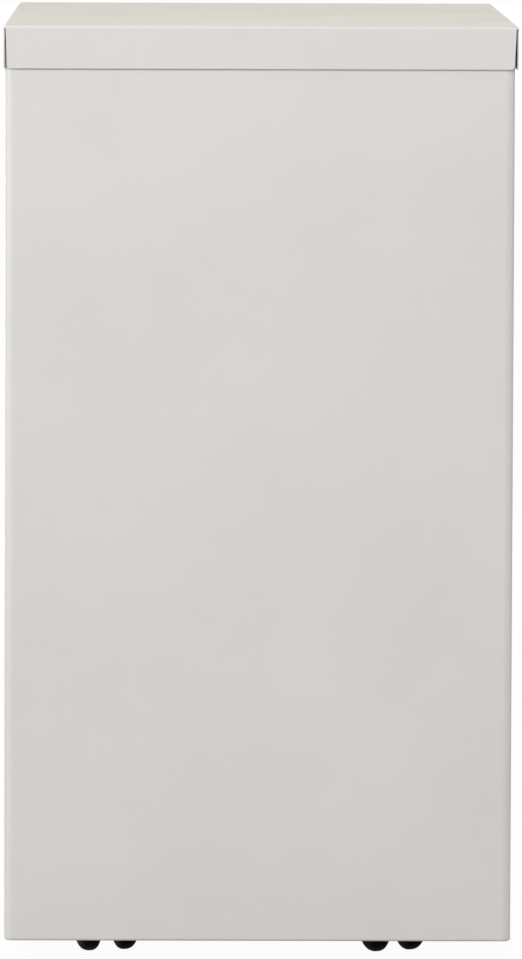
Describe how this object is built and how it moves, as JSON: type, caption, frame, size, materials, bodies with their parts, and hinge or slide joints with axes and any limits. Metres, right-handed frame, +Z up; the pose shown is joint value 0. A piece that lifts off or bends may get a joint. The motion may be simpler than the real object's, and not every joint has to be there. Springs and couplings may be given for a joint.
{
  "type": "mobile pedestal cabinet",
  "caption": "Narrow steel under-desk pedestal with stacked box and file drawers, a lipped top cap, a front lock and recessed twin-wheel casters.",
  "frame": {"origin": "on the floor under the middle of the cabinet", "axes": "+Z up; drawers open towards -Y and the plain back panel faces +Y; +X is the right-hand side seen from the front"},
  "size_m": [0.3843, 0.5825, 0.705],
  "materials": {
    "case_paint": "satin powder coat, light warm grey",
    "front_paint": "satin powder coat, light warm grey",
    "pull_paint": "satin powder coat, light warm grey",
    "tub_paint": "thin satin powder coat",
    "galvanised_steel": "galvanised sheet",
    "zinc_slide": "bright zinc plate",
    "ball_steel": "polished balls in pressed retainers",
    "cast_weight": "black dipped casting",
    "fastener_zinc": "zinc plate",
    "lock_chrome": "polished",
    "lock_steel": "zinc plate",
    "tray_plastic": "moulded, fine texture",
    "folder_rail": "satin",
    "caster_plastic": "moulded nylon",
    "axle_steel": "bright steel",
    "wheel_plastic": "moulded nylon tread"
  },
  "bodies": {
    "case": {"case_wrapper": "case_paint", "top_cap": "case_paint", "base_pan": "case_paint", "front_top_rail": "case_paint", "upright_front_left": "galvanised_steel", "upright_front_right": "galvanised_steel", "upright_rear_left": "galvanised_steel", "upright_rear_right": "galvanised_steel", "counterweight": "cast_weight", "slide_screws": "fastener_zinc", "lock_housing": "lock_chrome", "caster_stems": "fastener_zinc", "upper_slide_left_rail": "zinc_slide", "upper_slide_right_rail": "zinc_slide", "middle_slide_left_rail": "zinc_slide", "middle_slide_right_rail": "zinc_slide", "file_slide_left_rail": "zinc_slide", "file_slide_right_rail": "zinc_slide"},
    "lock_plug": {"lock_plug": "lock_chrome", "lock_cam": "lock_steel"},
    "lock_bar": {"lock_bar": "lock_steel"},
    "upper_drawer": {"upper_drawer_front": "front_paint", "upper_drawer_pull": "pull_paint", "upper_drawer_tub": "tub_paint", "upper_slide_left_runner": "zinc_slide", "upper_slide_right_runner": "zinc_slide"},
    "middle_drawer": {"middle_drawer_front": "front_paint", "middle_drawer_pull": "pull_paint", "middle_drawer_tub": "tub_paint", "middle_slide_left_runner": "zinc_slide", "middle_slide_right_runner": "zinc_slide"},
    "file_drawer": {"file_drawer_front": "front_paint", "file_drawer_pull": "pull_paint", "file_drawer_tub": "tub_paint", "file_slide_left_runner": "zinc_slide", "file_slide_right_runner": "zinc_slide", "hang_rails": "folder_rail"},
    "pencil_tray": {"pencil_tray": "tray_plastic"},
    "file_slide_links": {"file_slide_left_link": "zinc_slide", "file_slide_right_link": "zinc_slide"},
    "upper_ball_cages": {"upper_ball_cages": "ball_steel"},
    "middle_ball_cages": {"middle_ball_cages": "ball_steel"},
    "file_outer_ball_cages": {"file_outer_ball_cages": "ball_steel"},
    "file_inner_ball_cages": {"file_inner_ball_cages": "ball_steel"},
    "caster_rear_left_swivel": {"caster_rear_left_housing": "caster_plastic", "caster_rear_left_axle": "axle_steel"},
    "caster_rear_left_wheel_a": {"caster_rear_left_wheel_a": "wheel_plastic"},
    "caster_rear_left_wheel_b": {"caster_rear_left_wheel_b": "wheel_plastic"},
    "caster_rear_right_swivel": {"caster_rear_right_housing": "caster_plastic", "caster_rear_right_axle": "axle_steel"},
    "caster_rear_right_wheel_a": {"caster_rear_right_wheel_a": "wheel_plastic"},
    "caster_rear_right_wheel_b": {"caster_rear_right_wheel_b": "wheel_plastic"},
    "caster_front_left_swivel": {"caster_front_left_housing": "caster_plastic", "caster_front_left_axle": "axle_steel"},
    "caster_front_left_wheel_a": {"caster_front_left_wheel_a": "wheel_plastic"},
    "caster_front_left_wheel_b": {"caster_front_left_wheel_b": "wheel_plastic"},
    "caster_front_right_swivel": {"caster_front_right_housing": "caster_plastic", "caster_front_right_axle": "axle_steel"},
    "caster_front_right_wheel_a": {"caster_front_right_wheel_a": "wheel_plastic"},
    "caster_front_right_wheel_b": {"caster_front_right_wheel_b": "wheel_plastic"}
  },
  "joints": [
    {"name": "upper_drawer_slide", "type": "slide", "parent": "case", "child": "upper_drawer", "axis": [0, -1, 0], "range_m": [0, 0.34]},
    {"name": "middle_drawer_slide", "type": "slide", "parent": "case", "child": "middle_drawer", "axis": [0, -1, 0], "range_m": [0, 0.34]},
    {"name": "file_drawer_slide", "type": "slide", "parent": "case", "child": "file_drawer", "axis": [0, -1, 0], "range_m": [0, 0.49]},
    {"name": "pencil_tray_slide", "type": "slide", "parent": "upper_drawer", "child": "pencil_tray", "axis": [0, 1, 0], "range_m": [0, 0.33]},
    {"name": "file_slide_links_slide", "type": "slide", "parent": "case", "child": "file_slide_links", "axis": [0, -1, 0], "range_m": [0, 0.245]},
    {"name": "upper_ball_cages_slide", "type": "slide", "parent": "case", "child": "upper_ball_cages", "axis": [0, -1, 0], "range_m": [0, 0.17]},
    {"name": "middle_ball_cages_slide", "type": "slide", "parent": "case", "child": "middle_ball_cages", "axis": [0, -1, 0], "range_m": [0, 0.17]},
    {"name": "file_outer_ball_cages_slide", "type": "slide", "parent": "case", "child": "file_outer_ball_cages", "axis": [0, -1, 0], "range_m": [0, 0.1225]},
    {"name": "file_inner_ball_cages_slide", "type": "slide", "parent": "case", "child": "file_inner_ball_cages", "axis": [0, -1, 0], "range_m": [0, 0.3675]},
    {"name": "lock_plug_turn", "type": "hinge", "parent": "case", "child": "lock_plug", "pos_m": [0.158, -0.2905, 0.6886], "axis": [0, 1, 0], "range_deg": [0, 90]},
    {"name": "lock_bar_slide", "type": "slide", "parent": "case", "child": "lock_bar", "axis": [0, 0, -1], "range_m": [0, 0.01556]},
    {"name": "caster_rear_left_swivel_turn", "type": "hinge", "parent": "case", "child": "caster_rear_left_swivel", "pos_m": [-0.1095, 0.234, 0.048], "axis": [0, 0, 1], "continuous": true},
    {"name": "caster_rear_left_wheel_a_spin", "type": "hinge", "parent": "caster_rear_left_swivel", "child": "caster_rear_left_wheel_a", "pos_m": [-0.10313, 0.21824, 0.02], "axis": [0.9272, 0.3746, 0], "continuous": true},
    {"name": "caster_rear_left_wheel_b_spin", "type": "hinge", "parent": "caster_rear_left_swivel", "child": "caster_rear_left_wheel_b", "pos_m": [-0.10313, 0.21824, 0.02], "axis": [0.9272, 0.3746, 0], "continuous": true},
    {"name": "caster_rear_right_swivel_turn", "type": "hinge", "parent": "case", "child": "caster_rear_right_swivel", "pos_m": [0.1095, 0.234, 0.048], "axis": [0, 0, 1], "continuous": true},
    {"name": "caster_rear_right_wheel_a_spin", "type": "hinge", "parent": "caster_rear_right_swivel", "child": "caster_rear_right_wheel_a", "pos_m": [0.11433, 0.2177, 0.02], "axis": [0.9588, 0.284, 0], "continuous": true},
    {"name": "caster_rear_right_wheel_b_spin", "type": "hinge", "parent": "caster_rear_right_swivel", "child": "caster_rear_right_wheel_b", "pos_m": [0.11433, 0.2177, 0.02], "axis": [0.9588, 0.284, 0], "continuous": true},
    {"name": "caster_front_left_swivel_turn", "type": "hinge", "parent": "case", "child": "caster_front_left_swivel", "pos_m": [-0.1095, -0.234, 0.048], "axis": [0, 0, 1], "continuous": true},
    {"name": "caster_front_left_wheel_a_spin", "type": "hinge", "parent": "caster_front_left_swivel", "child": "caster_front_left_wheel_a", "pos_m": [-0.11851, -0.24842, 0.02], "axis": [0.848, -0.5299, 0], "continuous": true},
    {"name": "caster_front_left_wheel_b_spin", "type": "hinge", "parent": "caster_front_left_swivel", "child": "caster_front_left_wheel_b", "pos_m": [-0.11851, -0.24842, 0.02], "axis": [0.848, -0.5299, 0], "continuous": true},
    {"name": "caster_front_right_swivel_turn", "type": "hinge", "parent": "case", "child": "caster_front_right_swivel", "pos_m": [0.1095, -0.234, 0.048], "axis": [0, 0, 1], "continuous": true},
    {"name": "caster_front_right_wheel_a_spin", "type": "hinge", "parent": "caster_front_right_swivel", "child": "caster_front_right_wheel_a", "pos_m": [0.10258, -0.21847, 0.02], "axis": [-0.9135, -0.4067, 0], "continuous": true},
    {"name": "caster_front_right_wheel_b_spin", "type": "hinge", "parent": "caster_front_right_swivel", "child": "caster_front_right_wheel_b", "pos_m": [0.10258, -0.21847, 0.02], "axis": [-0.9135, -0.4067, 0], "continuous": true}
  ],
  "couplings": [
    {"joint": "file_slide_links_slide", "follows": "file_drawer_slide", "ratio": 0.5},
    {"joint": "upper_ball_cages_slide", "follows": "upper_drawer_slide", "ratio": 0.5},
    {"joint": "middle_ball_cages_slide", "follows": "middle_drawer_slide", "ratio": 0.5},
    {"joint": "file_outer_ball_cages_slide", "follows": "file_drawer_slide", "ratio": 0.25},
    {"joint": "file_inner_ball_cages_slide", "follows": "file_drawer_slide", "ratio": 0.75},
    {"joint": "lock_plug_turn", "follows": "lock_bar_slide", "rad_per_m": 100.98}
  ]
}
